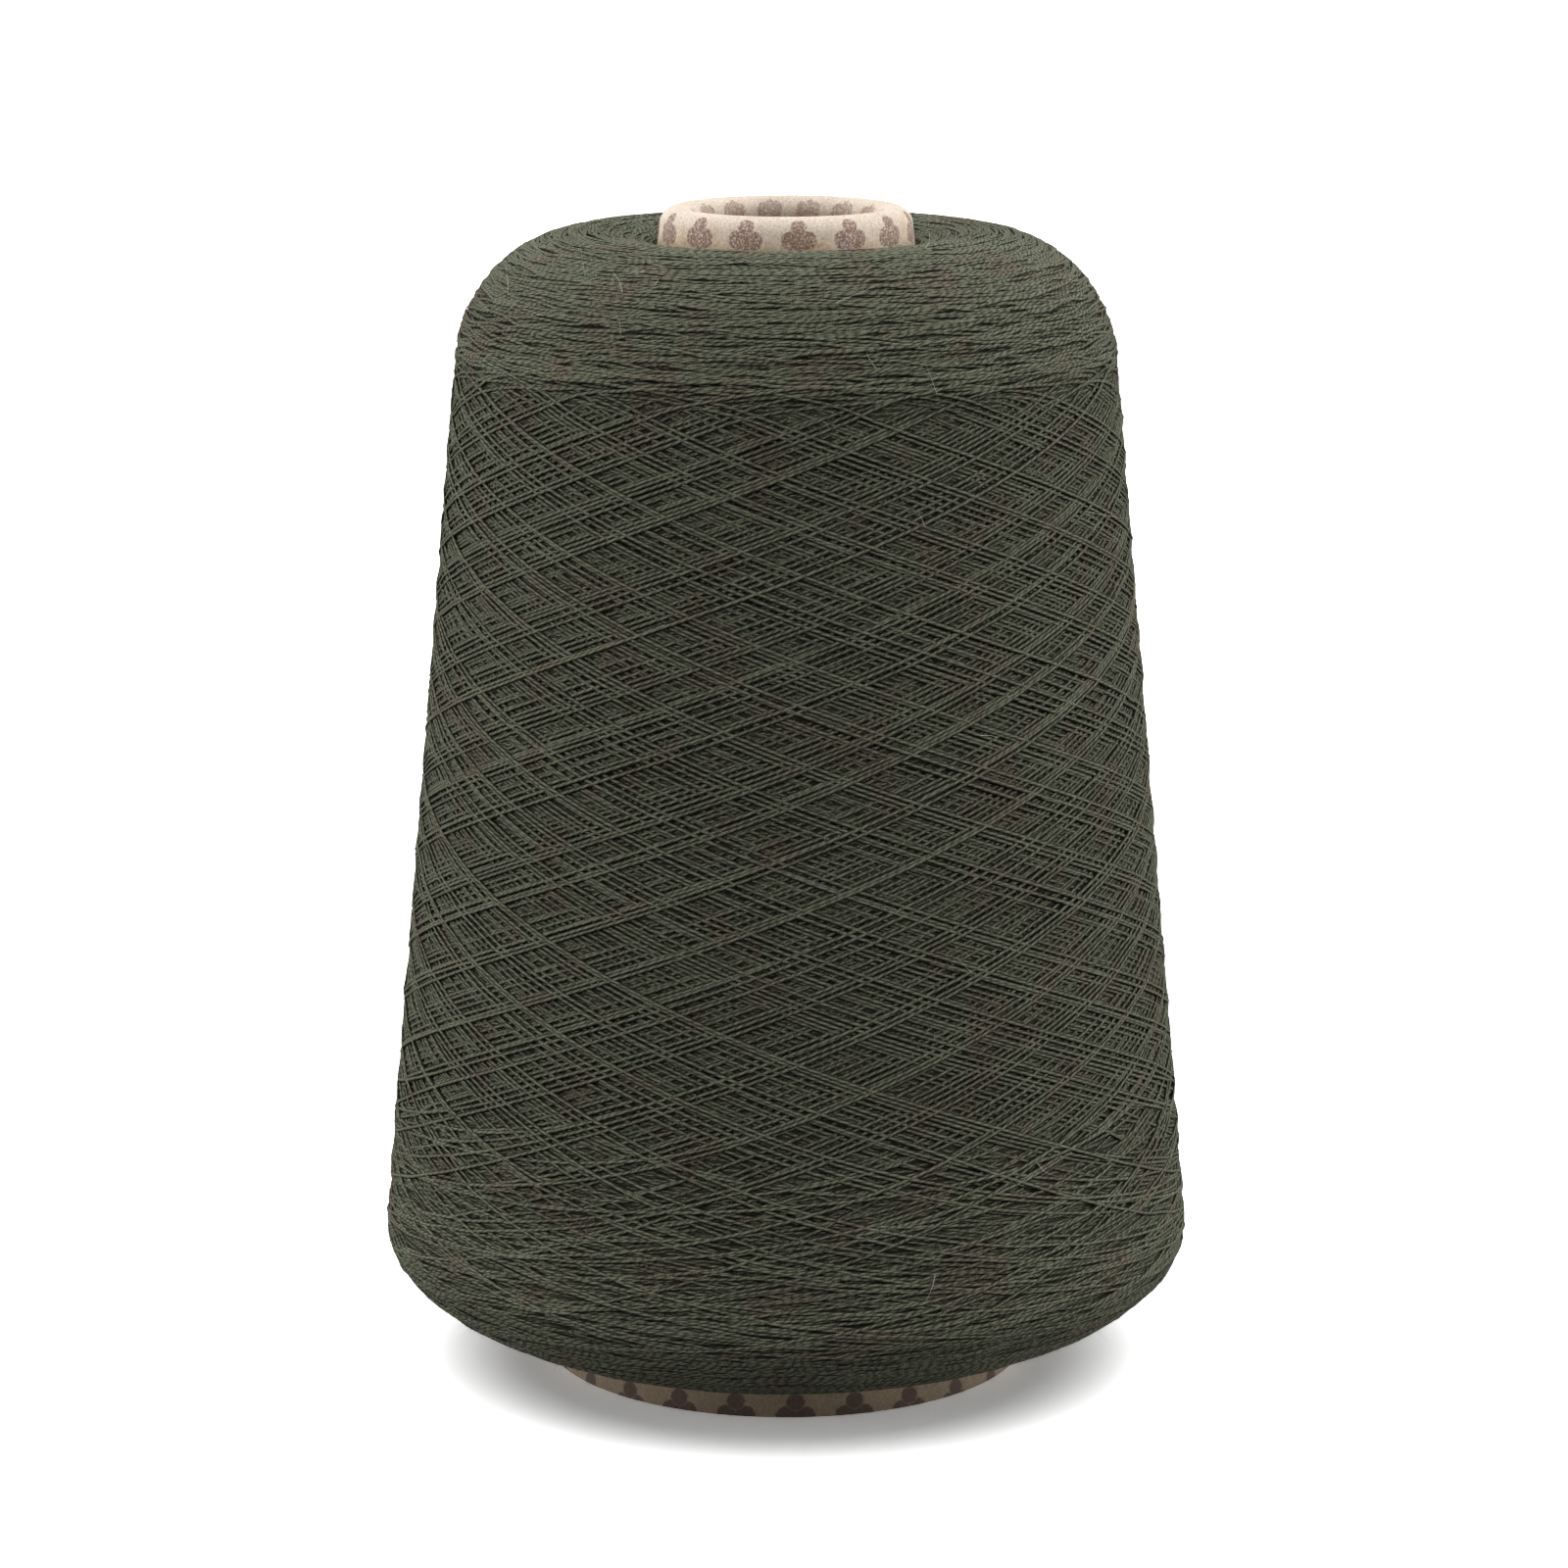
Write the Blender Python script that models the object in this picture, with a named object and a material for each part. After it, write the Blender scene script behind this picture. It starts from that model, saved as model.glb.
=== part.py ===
"""A cone of knitting yarn: yarn cross-wound on a hollow paper cone with a rolled nose.

Metres, +Z up. The origin is the middle of the base ring, and the wide end is down.
Both pieces are turned about the Z axis, and the yarn's crossing turns are raised on it.
"""

from math import atan2, cos, pi, radians, sin, tan

import bmesh
import bpy
import numpy as np

MM = 0.001

# Paper cone, a standard knitting cone of nearly 6 degrees, rolled inwards at its nose
CONE_HEIGHT = 170 * MM
CONE_BASE_RADIUS = 35.4 * MM
CONE_HALF_ANGLE = radians(5.87)
CONE_WALL = 1.65 * MM
ROLL_RADIUS = 2.6 * MM
LIP_LENGTH = 6 * MM
ROLL_STEPS = 8

# Yarn package: a straight cone-shaped side between two rounded shoulders
YARN_CLEARANCE = 0.3 * MM
YARN_BOTTOM = 4.8 * MM
YARN_NOSE = 164.6 * MM
SIDE_BASE_RADIUS = 61.3 * MM
SIDE_HALF_ANGLE = radians(5.25)
BASE_SHOULDER_TOP = 20.5 * MM
BASE_SHOULDER_POWER = 1.5
NOSE_SHOULDER_BOTTOM = 149 * MM
NOSE_SHOULDER_POWER = 2.0
CREST_RADIUS = 29.7 * MM
CREST_HEIGHT = 166.5 * MM

# Main twists: the crossing turns on the side, and the flat turns on the shoulders
TWISTS = 12
TWIST_ANGLE = radians(21)
END_ANGLE = radians(6)
TURNING_REACH = 30 * MM
TWIST_HEIGHT = 0.7 * MM
TWIST_PROUD = 0.2 * MM
FLAT_TURN_PITCH = 8 * MM
EDGE_REACH = 4 * MM

# Faces round each piece, and rows along the yarn's outline
SEGMENTS = 72
BASE_SHOULDER_ROWS = 12
SIDE_ROWS = 48
NOSE_SHOULDER_ROWS = 12
DIP_ROWS = 4
BORE_ROWS = 3


def cone_radius(z):
    """The paper cone's outer radius at height z."""
    return CONE_BASE_RADIUS - z * tan(CONE_HALF_ANGLE)


def bore_radius(z):
    """The yarn's inner radius at height z: the paper's, and the clearance."""
    return cone_radius(z) + YARN_CLEARANCE / cos(CONE_HALF_ANGLE)


def side_radius(z):
    """The radius of the yarn's straight side, carried on to height z."""
    return SIDE_BASE_RADIUS - z * tan(SIDE_HALF_ANGLE)


def smooth(x):
    """0 below 0, 1 above 1, and an even S-shaped step between them."""
    x = np.clip(x, 0, 1)
    return x * x * (3 - 2 * x)


def wave(angle):
    """A ridge every full turn of the angle, from 0 in the valley to 1 on the crest."""
    return 0.5 + 0.5 * np.cos(angle)


def paper_section():
    """The wall, the roll round the nose and the lip inside it, as one closed outline.

    The face that shows runs up the outside, over the roll and down the bore. The
    hidden face runs back at the wall's thickness from it.
    """
    centre_z = CONE_HEIGHT - ROLL_RADIUS
    centre_r = cone_radius(centre_z) - ROLL_RADIUS / cos(CONE_HALF_ANGLE)
    turns = np.linspace(CONE_HALF_ANGLE, pi, ROLL_STEPS + 1)

    def face(inset):
        radius = ROLL_RADIUS - inset
        base = (CONE_BASE_RADIUS - inset / cos(CONE_HALF_ANGLE), 0)
        roll = [(centre_r + radius * cos(a), centre_z + radius * sin(a)) for a in turns]
        return [base, *roll, (centre_r - radius, centre_z - LIP_LENGTH)]

    return face(0) + face(CONE_WALL)[::-1]


def shoulder(edge, end, depth, power, rows):
    """Rows of a rounded shoulder, from the side at height edge to its end.

    Seen from the straight side, the outline falls in by depth as a superellipse of
    the given power, so the shoulder leaves the side without a corner.
    """
    turns = np.linspace(0, pi / 2, rows + 1)
    z = edge + (end - edge) * np.sin(turns)
    fall = 1 - np.clip(np.cos(turns), 0, 1) ** (2 / power)
    return np.stack([side_radius(z) - depth * fall, z], 1)


def yarn_outline():
    """The yarn's outer outline as rows of radius and height, from its base to its nose."""
    base = shoulder(
        BASE_SHOULDER_TOP,
        YARN_BOTTOM,
        side_radius(YARN_BOTTOM) - bore_radius(YARN_BOTTOM),
        BASE_SHOULDER_POWER,
        BASE_SHOULDER_ROWS,
    )
    nose = shoulder(
        NOSE_SHOULDER_BOTTOM,
        CREST_HEIGHT,
        side_radius(CREST_HEIGHT) - CREST_RADIUS,
        NOSE_SHOULDER_POWER,
        NOSE_SHOULDER_ROWS,
    )
    z = np.linspace(BASE_SHOULDER_TOP, NOSE_SHOULDER_BOTTOM, SIDE_ROWS + 1)[1:-1]
    side = np.stack([side_radius(z), z], 1)
    down = np.linspace(0, 1, DIP_ROWS + 1)[1:]
    dip = np.stack(
        [
            CREST_RADIUS + (bore_radius(YARN_NOSE) - CREST_RADIUS) * down,
            CREST_HEIGHT + (YARN_NOSE - CREST_HEIGHT) * down**2,
        ],
        1,
    )
    return np.concatenate([base[::-1], side, nose, dip])


def bore_outline():
    """The rows of the yarn's bore between its nose and its base."""
    z = np.linspace(YARN_NOSE, YARN_BOTTOM, BORE_ROWS + 1)[1:-1]
    return np.stack([bore_radius(z), z], 1)


class Twists:
    """How far the yarn lies below its outline, from row to row and round the cone.

    A strand that climbs at an angle a goes round by (step along the outline) /
    (radius * tan a) in each row. Two families of ridges follow that angle, one each
    way. Near both ends the strands run flat, and the ridges give way to one helix.
    """

    def __init__(self, outline):
        steps = np.linalg.norm(np.diff(outline, axis=0), axis=1)
        self.along = np.concatenate([[0], np.cumsum(steps)])
        to_end = np.minimum(self.along, self.along[-1] - self.along)
        self.side_share = smooth(to_end / TURNING_REACH)
        self.edge = smooth(to_end / EDGE_REACH)
        climb = END_ANGLE + (TWIST_ANGLE - END_ANGLE) * self.side_share
        turn = 1 / (outline[:, 0] * np.tan(climb))
        self.lag = np.concatenate([[0], np.cumsum(steps * (turn[1:] + turn[:-1]) / 2)])
        slope = np.gradient(outline, axis=0)
        slope /= np.linalg.norm(slope, axis=1)[:, None]
        self.outward = np.stack([slope[:, 1], -slope[:, 0]], 1)

    def inset(self, row, azimuth):
        """The depth below the outline at a row and an azimuth. Crests stand a little proud.

        The row need not be whole: the rows' values are read in between too.
        """
        rows = np.arange(len(self.along))
        lag, along = np.interp(row, rows, self.lag), np.interp(row, rows, self.along)
        share, edge = np.interp(row, rows, self.side_share), np.interp(row, rows, self.edge)
        crossing = wave(TWISTS * (azimuth - lag)) + wave(TWISTS * (azimuth + lag))
        flat = wave(azimuth - 2 * pi * along / FLAT_TURN_PITCH)
        relief = share * crossing / 2 + (1 - share) * flat
        return (TWIST_HEIGHT * (1 - relief) - TWIST_PROUD) * edge


def turned_bmesh(section):
    """A closed section in the XZ plane, spun into a ring. Layer "row" numbers its rows."""
    bm = bmesh.new()
    row = bm.verts.layers.int.new("row")
    verts = [bm.verts.new((r, 0, z)) for r, z in section]
    for number, vert in enumerate(verts):
        vert[row] = number
    edges = [bm.edges.new(pair) for pair in zip(verts, verts[1:] + verts[:1])]
    bmesh.ops.spin(
        bm,
        geom=verts + edges,
        axis=(0, 0, 1),
        cent=(0, 0, 0),
        angle=2 * pi,
        steps=SEGMENTS,
        use_merge=True,
    )
    bmesh.ops.recalc_face_normals(bm, faces=bm.faces)
    return bm


def finish(name, bm, material):
    """Makes the object of a bmesh, shaded smooth but for its sharp edges."""
    mesh = bpy.data.meshes.new(name)
    bm.to_mesh(mesh)
    bm.free()
    mesh.shade_smooth()
    mesh.set_sharp_from_angle(angle=radians(50))
    mesh.materials.append(material)
    part = bpy.data.objects.new(name, mesh)
    bpy.context.collection.objects.link(part)
    return part


def plain_material(name, colour, roughness):
    """A Principled material of one colour, not metallic."""
    material = bpy.data.materials.new(name)
    material.use_nodes = True
    shader = material.node_tree.nodes["Principled BSDF"]
    shader.inputs["Base Color"].default_value = (*colour, 1)
    shader.inputs["Roughness"].default_value = roughness
    shader.inputs["Metallic"].default_value = 0
    return material


def paper_cone():
    """The paper cone that the yarn is wound on, open at both ends."""
    bm = turned_bmesh(paper_section())
    return finish("paper_cone", bm, plain_material("cone_paper", (0.56, 0.47, 0.38), 0.8))


def raise_twists(bm, outline):
    """Sinks the turned surface along its normals, so that the twists stand on it."""
    twists = Twists(outline)
    row = bm.verts.layers.int["row"]
    for vert in bm.verts:
        if vert[row] < len(outline):
            azimuth = atan2(vert.co.y, vert.co.x)
            out_r, out_z = twists.outward[vert[row]] * twists.inset(vert[row], azimuth)
            vert.co.x -= out_r * cos(azimuth)
            vert.co.y -= out_r * sin(azimuth)
            vert.co.z -= out_z
    split_along_twists(bm, twists, len(outline))


def split_along_twists(bm, twists, rows):
    """Splits each face along the diagonal that lies nearer to the twists' true height.

    The middle of a face has one true depth. The diagonal whose ends' mean depth comes
    nearer to it follows the ridge or the valley that crosses the face.
    """
    row = bm.verts.layers.int["row"]
    for face in list(bm.faces):
        verts = list(face.verts)
        numbers = [vert[row] for vert in verts]
        if max(numbers) >= rows or max(numbers) - min(numbers) != 1:
            continue
        middle = face.calc_center_median()
        depth = twists.inset(np.mean(numbers), atan2(middle.y, middle.x))
        ends = [twists.inset(vert[row], atan2(vert.co.y, vert.co.x)) for vert in verts]
        first = abs((ends[0] + ends[2]) / 2 - depth)
        second = abs((ends[1] + ends[3]) / 2 - depth)
        start = 0 if first <= second else 1
        bmesh.utils.face_split(face, verts[start], verts[start + 2])


def yarn_package():
    """The wound yarn, as one solid with its crossing turns in low relief."""
    outline = yarn_outline()
    bm = turned_bmesh(np.concatenate([outline, bore_outline()]))
    raise_twists(bm, outline)
    return finish("yarn_package", bm, plain_material("dark_yarn", (0.05, 0.052, 0.042), 0.9))


for old in list(bpy.data.objects):
    bpy.data.objects.remove(old)

paper_cone()
yarn_package()
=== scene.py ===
# %% [markdown]
# # A cone of yarn
#
# A cone of knitting yarn is a hollow paper cone with one long strand wound on it. The
# winder lays the strand from end to end in crossing turns, and at each end the strand
# turns back, nearly level, so both shoulders look different from the side.
#
# This lesson makes that surface as the machine does: it works out the strand's path,
# lays it turn by turn on what is there already, and sweeps a thin tube along it.

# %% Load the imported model
from math import cos, pi, radians, sin, tan

import bpy
import numpy as np
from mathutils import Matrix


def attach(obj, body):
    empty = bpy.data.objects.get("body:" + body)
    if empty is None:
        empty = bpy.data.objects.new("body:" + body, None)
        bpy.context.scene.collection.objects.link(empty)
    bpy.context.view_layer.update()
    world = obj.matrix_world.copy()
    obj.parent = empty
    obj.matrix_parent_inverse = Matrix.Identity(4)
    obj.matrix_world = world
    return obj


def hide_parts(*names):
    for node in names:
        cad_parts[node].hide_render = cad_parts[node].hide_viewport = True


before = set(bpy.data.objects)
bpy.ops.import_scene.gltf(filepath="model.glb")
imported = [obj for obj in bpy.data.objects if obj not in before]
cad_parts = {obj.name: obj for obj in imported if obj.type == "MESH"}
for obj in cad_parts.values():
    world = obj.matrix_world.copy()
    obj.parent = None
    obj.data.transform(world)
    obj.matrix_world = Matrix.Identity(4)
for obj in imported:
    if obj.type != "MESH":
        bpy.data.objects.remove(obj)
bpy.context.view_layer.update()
MM = 0.001
rng = np.random.default_rng(7)

# %% [markdown]
# ## The camera
#
# The cone was photographed with a long lens from a little above, so the two rims look
# like flat ellipses: the lower one is rounder, because the eye is higher above it. The
# distance and the tilt follow from how much flatter the upper rim is. Azimuth 0 on the
# cone faces the camera, and grows towards the right.

# %% Set up the camera
CAMERA_DISTANCE = 717 * MM
CAMERA_HEIGHT = 242 * MM
CAMERA_SIDE = -0.3 * MM
CAMERA_DOWN = radians(12.33)
CAMERA_LENS = 114.84

camera = bpy.data.objects.new("camera", bpy.data.cameras.new("camera"))
bpy.context.collection.objects.link(camera)
camera.data.lens = CAMERA_LENS
camera.data.clip_start = 10 * MM
camera.location = (CAMERA_SIDE, -CAMERA_DISTANCE, CAMERA_HEIGHT)
camera.rotation_euler = (pi / 2 - CAMERA_DOWN, 0, 0)
bpy.context.scene.camera = camera

# %% [markdown]
# ## Floor and light
#
# The photograph is a product shot on white. White walls all round light the rims of
# the yarn, the front gets less, and a soft light from above brightens the nose. The
# floor is so bright that it turns pure white but for the shadow under the base. Only
# the camera sees it that bright: it throws little light back, or the yarn would glow
# from below. The walls are a band round the horizon, brightest at the left and right.

# %% Set up the floor and the lights
FLOOR_HALF = 6.0
FLOOR_SEEN = 1.8
FLOOR_BOUNCE = 0.12
TOP_LIGHT = 4.9
TOP_LIGHT_SPREAD = radians(108)
TOP_LIGHT_TILT = radians(8)
ROOM_LIGHT = 0.03
ROOM_BAND = 0.55
ROOM_BAND_TOP = 0.45
ROOM_SIDES = 21.0
SIDE_SHARPNESS = 5.0


def add_node(tree, kind, **settings):
    """A node in a tree, with some of its properties set."""
    node = tree.nodes.new(kind)
    for name, value in settings.items():
        setattr(node, name, value)
    return node


def feed(tree, socket, value):
    """Gives an input a number or a colour, or links another node's output to it."""
    if isinstance(value, (int, float, tuple)):
        socket.default_value = value
    else:
        tree.links.new(value, socket)


def maths(tree, operation, *inputs):
    """A Math node on outputs or numbers. Returns its output."""
    node = add_node(tree, "ShaderNodeMath", operation=operation)
    for socket, value in zip(node.inputs, inputs):
        feed(tree, socket, value)
    return node.outputs[0]


def line(tree, value, factor, offset):
    """A factor times a value, plus an offset."""
    return maths(tree, "MULTIPLY_ADD", value, factor, offset)


def axes(tree, vector):
    """The outputs X, Y and Z of a vector."""
    split = add_node(tree, "ShaderNodeSeparateXYZ")
    tree.links.new(vector, split.inputs[0])
    return split.outputs


def new_material(name):
    """A material with nodes: returns it, its tree and its shader."""
    material = bpy.data.materials.new(name)
    material.use_nodes = True
    tree = material.node_tree
    return material, tree, tree.nodes["Principled BSDF"]


floor_mesh = bpy.data.meshes.new("floor")
floor_mesh.from_pydata(
    [(x * FLOOR_HALF, y * FLOOR_HALF, 0) for x, y in [(-1, -1), (1, -1), (1, 1), (-1, 1)]],
    [],
    [(0, 1, 2, 3)],
)
floor = bpy.data.objects.new("floor", floor_mesh)
bpy.context.collection.objects.link(floor)
white, tree, unused_shader = new_material("white_floor")
tree.nodes.remove(unused_shader)
floor_shader = add_node(tree, "ShaderNodeBsdfDiffuse")
seen = add_node(tree, "ShaderNodeLightPath").outputs["Is Camera Ray"]
grey = line(tree, seen, FLOOR_SEEN - FLOOR_BOUNCE, FLOOR_BOUNCE)
tree.links.new(grey, floor_shader.inputs["Color"])
tree.links.new(floor_shader.outputs[0], tree.nodes["Material Output"].inputs["Surface"])
floor_mesh.materials.append(white)

top_light = bpy.data.lights.new("top_light", "SUN")
top_light.energy = TOP_LIGHT
top_light.angle = TOP_LIGHT_SPREAD
top_holder = bpy.data.objects.new("top_light", top_light)
top_holder.rotation_euler = (-TOP_LIGHT_TILT, 0, 0)
bpy.context.collection.objects.link(top_holder)

world = bpy.data.worlds.new("white_room")
bpy.context.scene.world = world
world.use_nodes = True
tree = world.node_tree
background = tree.nodes["Background"]
background.inputs["Color"].default_value = (1, 1, 1, 1)
way = axes(tree, add_node(tree, "ShaderNodeTexCoord").outputs["Generated"])
sideways = maths(tree, "POWER", maths(tree, "ABSOLUTE", way["X"]), SIDE_SHARPNESS)
band = line(tree, maths(tree, "ABSOLUTE", way["Z"]), -1 / ROOM_BAND_TOP, 1.0)
band = maths(tree, "MULTIPLY", maths(tree, "MAXIMUM", band, 0.0), ROOM_BAND)
band = maths(tree, "MULTIPLY", band, line(tree, sideways, ROOM_SIDES, 1.0))
room = maths(tree, "ADD", band, ROOM_LIGHT)
seen = add_node(tree, "ShaderNodeLightPath").outputs["Is Camera Ray"]
tree.links.new(maths(tree, "MAXIMUM", room, seen), background.inputs["Strength"])
bpy.context.scene.view_settings.view_transform = "Standard"
print("the room's band is", round(ROOM_BAND * (1 + ROOM_SIDES), 1), "bright at its sides")

# %% [markdown]
# ## The outline of the wound yarn
#
# The package is a solid of revolution: a straight conical side between two shoulders,
# and a shallow dip where the yarn meets the paper's nose. One outline from the nose to
# the base describes it, and a place on the yarn is then three numbers: how far along
# the outline, how far round, and how high above it.

# %% Work out the outline
CONE_HEIGHT = 170 * MM
CONE_BASE_RADIUS = 35.4 * MM
CONE_HALF_ANGLE = radians(5.87)
CLEARANCE = 0.3 * MM
YARN_BOTTOM = 4.8 * MM
YARN_NOSE = 164.6 * MM
SIDE_BASE_RADIUS = 61.3 * MM
SIDE_HALF_ANGLE = radians(5.25)
BASE_SHOULDER_TOP = 20.5 * MM
BASE_SHOULDER_POWER = 1.5
NOSE_SHOULDER_BOTTOM = 149 * MM
NOSE_SHOULDER_POWER = 2.0
CREST_RADIUS = 29.7 * MM
CREST_HEIGHT = 166.5 * MM
SHOULDER_POINTS = 400
DIP_POINTS = 100
OUTLINE_STEP = 0.25 * MM


def cone_radius(z):
    """The paper cone's outer radius at height z."""
    return CONE_BASE_RADIUS - z * tan(CONE_HALF_ANGLE)


def bore_radius(z):
    """The yarn's inner radius at height z, just clear of the paper."""
    return cone_radius(z) + CLEARANCE / cos(CONE_HALF_ANGLE)


def side_radius(z):
    """The radius of the yarn's straight side, carried on to height z."""
    return SIDE_BASE_RADIUS - z * tan(SIDE_HALF_ANGLE)


def shoulder(edge, end, depth, power):
    """Points of a rounded shoulder: height goes as the sine of a quarter turn, and the
    radius falls in from the side by depth as 1 - cosine ** (2 / power)."""
    turn = np.linspace(0, pi / 2, SHOULDER_POINTS)
    z = edge + (end - edge) * np.sin(turn)
    fall = 1 - np.clip(np.cos(turn), 0, 1) ** (2 / power)
    return np.stack([side_radius(z) - depth * fall, z], 1)


def length_at(points):
    """How far each of the points is along the curve that they make."""
    return np.concatenate([[0], np.cumsum(np.linalg.norm(np.diff(points, axis=0), axis=1))])


def unit(vectors):
    """The same vectors, each with a length of 1."""
    return vectors / np.linalg.norm(vectors, axis=-1)[..., None]


def even_steps(points, step):
    """The same curve with points at even distances, read between the given ones."""
    length = length_at(points)
    at = np.linspace(0, length[-1], int(length[-1] / step) + 1)
    return np.stack([np.interp(at, length, axis) for axis in points.T], 1), at


dip = np.linspace(1, 0, DIP_POINTS)[:, None]
dip_points = np.concatenate(
    [
        CREST_RADIUS + (bore_radius(YARN_NOSE) - CREST_RADIUS) * dip,
        CREST_HEIGHT + (YARN_NOSE - CREST_HEIGHT) * dip**2,
    ],
    1,
)
nose_depth = side_radius(CREST_HEIGHT) - CREST_RADIUS
nose_points = shoulder(NOSE_SHOULDER_BOTTOM, CREST_HEIGHT, nose_depth, NOSE_SHOULDER_POWER)
base_depth = side_radius(YARN_BOTTOM) - bore_radius(YARN_BOTTOM)
base_points = shoulder(BASE_SHOULDER_TOP, YARN_BOTTOM, base_depth, BASE_SHOULDER_POWER)
outline, along_outline = even_steps(
    np.concatenate([dip_points, nose_points[-2::-1], base_points]), OUTLINE_STEP
)
slope = unit(np.gradient(outline, axis=0))
outward = np.stack([-slope[:, 1], slope[:, 0]], 1)
OUTLINE_LENGTH = along_outline[-1]


def at_height(z):
    """How far along the outline it comes down to height z."""
    crest = np.argmax(outline[:, 1])
    return float(np.interp(-z, -outline[crest:, 1], along_outline[crest:]))


def on_package(azimuth, along, height):
    """Points and outward normals on the package, as arrays of the inputs' shape plus 3.

    The outline gives a radius and a height above the floor, moved outwards by `height`
    along the outline's normal, and the azimuth turns the result about the axis.
    """
    r, z, out_r, out_z = (
        np.interp(along, along_outline, column)
        for column in (outline[:, 0], outline[:, 1], outward[:, 0], outward[:, 1])
    )
    round_x, round_y = np.sin(azimuth), -np.cos(azimuth)
    lifted = r + height * out_r
    points = np.stack([lifted * round_x, lifted * round_y, z + height * out_z], -1)
    normals = np.stack([out_r * round_x, out_r * round_y, out_z], -1)
    return points, normals


print("outline", round(OUTLINE_LENGTH / MM, 1), "mm from the nose to the base")

# %% [markdown]
# ## The path of the strand
#
# On the side the strand climbs at a steady angle. At the edge of the nose it bends over
# and runs nearly level to a turn, and comes back the same way. At the base it bends
# more slowly. Every stroke of the winder is this one crossing, each with its own turns.

# %% Work out one crossing
STRAND_WIDTH = 0.72 * MM
LEVEL_WIDTH = 0.62 * MM
LAY_STEP = 0.4 * MM
SIDE_ANGLE = radians(21)
NOSE_ANGLE = radians(3.8)
BASE_ANGLE = radians(5)
NOSE_BEND = at_height(151.5 * MM)
BASE_BEND = at_height(17 * MM)
NOSE_BEND_REACH = 6 * MM
BASE_BEND_REACH = 32 * MM
TURN_REACH = 8 * MM
PATH_SAMPLES = 4000


def bend(distance, reach):
    """The share of the side's slope at a distance before a bend: half a cosine wave."""
    return 0.5 - 0.5 * np.cos(pi * np.clip(distance / reach, 0, 1))


def turn_over(distance, level_slope):
    """The share of the level slope at a distance before a turn: that of a hyperbola
    which runs round for about TURN_REACH before it climbs."""
    out = 1 + distance / (TURN_REACH * level_slope)
    return np.sqrt(1 - 1 / out**2)


def steepness(along):
    """1 on the side and 0 on the level parts."""
    return bend(along - NOSE_BEND, NOSE_BEND_REACH) * bend(BASE_BEND - along, BASE_BEND_REACH)


def crossing(nose_turn, base_turn):
    """One crossing from a nose turn to a base turn, at even steps of LAY_STEP.

    The slope is that of the nose or the base, and goes up to the side's between the two
    bends. A step along the outline divided by the slope is the step round. Returns the
    azimuth, which is zero half way along, and the place along the outline.
    """
    u = (np.arange(PATH_SAMPLES) + 0.5) / PATH_SAMPLES * pi - pi / 2
    along = nose_turn + (base_turn - nose_turn) * (1 + np.sin(u)) / 2
    step = np.gradient(along)
    at_nose = along < (NOSE_BEND + BASE_BEND) / 2
    level_slope = np.where(at_nose, tan(NOSE_ANGLE), tan(BASE_ANGLE))
    slope_here = level_slope + (tan(SIDE_ANGLE) - level_slope) * steepness(along)
    turning = turn_over(along - nose_turn, tan(NOSE_ANGLE))
    turning = turning * turn_over(base_turn - along, tan(BASE_ANGLE))
    go_round = step / slope_here / turning
    azimuth = np.cumsum(go_round / np.interp(along, along_outline, outline[:, 0]))
    length = np.cumsum(np.hypot(step, go_round))
    even = np.arange(length[0], length[-1], LAY_STEP)
    azimuth = np.interp(even, length, azimuth)
    along = np.interp(even, length, along)
    return azimuth - np.interp((NOSE_BEND + BASE_BEND) / 2, along, azimuth), along


def wrapped(angle):
    """The same angle between minus and plus half a turn."""
    return (angle + pi) % (2 * pi) - pi


def winding(shape, middle, nose_shift, base_shift, bend_shift):
    """Azimuth and place along the outline of the strokes, of which every other one runs
    from the base to the nose.

    `middle` is each stroke's azimuth half way along the side. The level parts alone are
    shifted: along the outline, so that each stroke has its own turns, and round, so that
    it ends where the next one starts. `bend_shift` moves the bend at the base, as a
    sine squared that fades out at the turn and higher on the side.
    """
    azimuth, along = shape
    number = np.arange(len(middle))
    down = (number % 2 == 0)[:, None]
    nose_edge, base_edge = NOSE_BEND + NOSE_BEND_REACH, BASE_BEND - NOSE_BEND_REACH
    at_nose = np.clip((nose_edge - along) / (nose_edge - along[0]), 0, 1)
    at_base = np.clip((along - base_edge) / (along[-1] - base_edge), 0, 1)
    end = np.where(number % 2 == 0, azimuth[-1], -azimuth[0])
    gap = wrapped(np.diff(middle) - 2 * end[:-1]) / 2
    after, before = np.append(gap, 0), np.insert(-gap, 0, 0)
    nose_gap = np.where(down[:, 0], before, after)[:, None]
    base_gap = np.where(down[:, 0], after, before)[:, None]
    turned = np.where(down, azimuth, -azimuth) + nose_gap * at_nose + base_gap * at_base
    moved = along + nose_shift[:, None] * at_nose + base_shift[:, None] * at_base
    into_bend = along - BASE_BEND + BASE_BEND_REACH
    near_base = np.clip(into_bend / into_bend[-1], 0, 1)
    moved = moved + bend_shift[:, None] * np.sin(pi * near_base) ** 2
    turned = np.where(down, turned, turned[:, ::-1])
    moved = np.where(down, moved, moved[:, ::-1])
    return middle[:, None] + turned, moved


# %% [markdown]
# ## The pile
#
# Each new stroke lies on the strands below it. The pile is a map of heights over the
# outline and the azimuth. A taut strand rests on the high places and spans the gaps,
# and on a round package a span sags towards the surface like a parabola, so its height
# is the map under it, closed by that parabola. Then the strand is added to the map.

# %% Make the pile
PILE_COLUMNS = 900
ROW_STEP = 0.2 * MM
PILE_ROWS = int(OUTLINE_LENGTH / ROW_STEP) + 1
SIDE_PRESSED = 0.16 * MM
LEVEL_PRESSED = 0.07 * MM
SPAN_STEPS = 12
SOFTNESS = 4.0
ACROSS = np.array([-0.4, 0, 0.4])
ACROSS_SHARE = np.array([0.25, 0.5, 0.25])
CROWN_ROUNDNESS = 1.6
LEAST_CURVE = 0.15

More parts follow.
